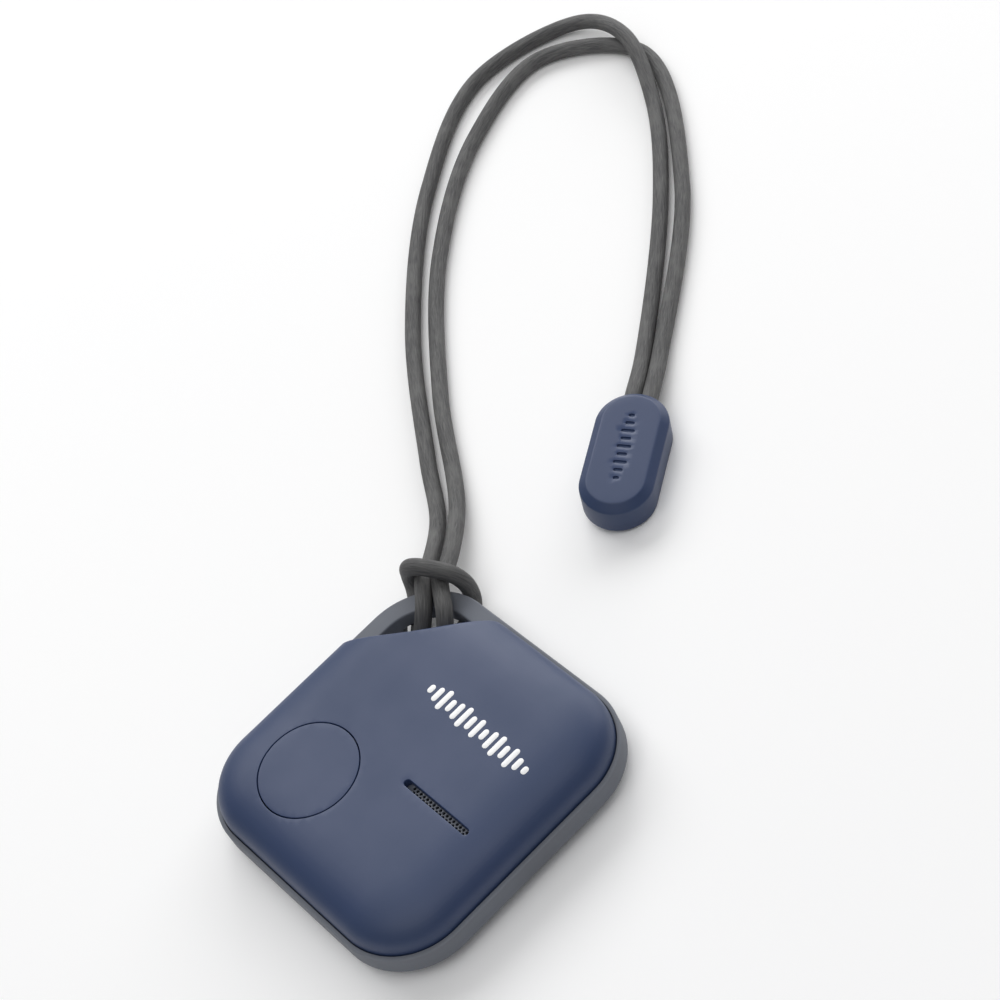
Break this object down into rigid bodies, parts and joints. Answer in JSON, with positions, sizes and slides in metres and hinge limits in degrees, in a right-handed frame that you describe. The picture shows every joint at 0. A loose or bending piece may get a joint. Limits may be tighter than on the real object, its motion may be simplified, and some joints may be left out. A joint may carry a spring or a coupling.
{
  "type": "bluetooth tracker tag",
  "caption": "Rounded-square tracker tag with crowned cover, flush push button, sound slot and quarter-turn battery door, on a doubled cord loop that ends in a pill-shaped bead.",
  "frame": {"origin": "centre of the flat back of the tag, on the surface that it lies on", "axes": "+Z out of the front cover; +X and +Y along the tag's sides, with the lanyard corner towards +X +Y and the button near the -X +Y corner"},
  "size_m": [0.1135, 0.0974, 0.009],
  "materials": {
    "shell_grey": "satin moulded plastic, fine texture",
    "cover_blue": "soft-touch matt",
    "cord_grey": "fine spun fibre, satin",
    "mesh_steel": "etched, dark",
    "bright_steel": "satin",
    "spring_brass": "plated spring strip",
    "seal_rubber": "matt",
    "black_plastic": "fine matt",
    "white_plastic": "satin",
    "board_green": "solder mask over glass fibre",
    "ceramic_tan": "fired, satin"
  },
  "bodies": {
    "tag": {"rear_shell": "shell_grey", "front_cover": "cover_blue", "cover_gasket": "seal_rubber", "switch_body": "black_plastic", "speaker_mesh": "mesh_steel", "sounder_gasket": "seal_rubber", "sounder": "bright_steel", "coin_cell": "bright_steel", "cell_contact_top": "spring_brass", "cell_contact_side": "spring_brass", "inner_frame": "black_plastic", "circuit_board": "board_green", "radio_chip": "black_plastic", "radio_crystal": "bright_steel", "chip_antenna": "white_plastic", "power_inductor": "black_plastic", "capacitor_1": "ceramic_tan", "capacitor_2": "ceramic_tan", "capacitor_3": "ceramic_tan", "capacitor_4": "ceramic_tan", "board_screw_1": "bright_steel", "board_screw_2": "bright_steel", "bead_body": "cover_blue", "bead_base": "cover_blue", "cord_crimp": "bright_steel", "lanyard_cord": "cord_grey"},
    "button": {"button_cap": "cover_blue"},
    "plunger": {"switch_plunger": "white_plastic"},
    "door": {"battery_door": "shell_grey", "door_seal": "seal_rubber"}
  },
  "joints": [
    {"name": "button_press", "type": "slide", "parent": "tag", "child": "button", "axis": [0, 0, 1], "range_m": [-0.00035, 0], "stiffness_N_per_m": 4000},
    {"name": "plunger_press", "type": "slide", "parent": "tag", "child": "plunger", "axis": [0, 0, 1], "range_m": [-0.00035, 0]},
    {"name": "door_turn", "type": "hinge", "parent": "tag", "child": "door", "pos_m": [0, 0, 0], "axis": [0, 0, -1], "range_deg": [0, 30]}
  ],
  "couplings": [
    {"joint": "plunger_press", "follows": "button_press", "ratio": 1}
  ]
}
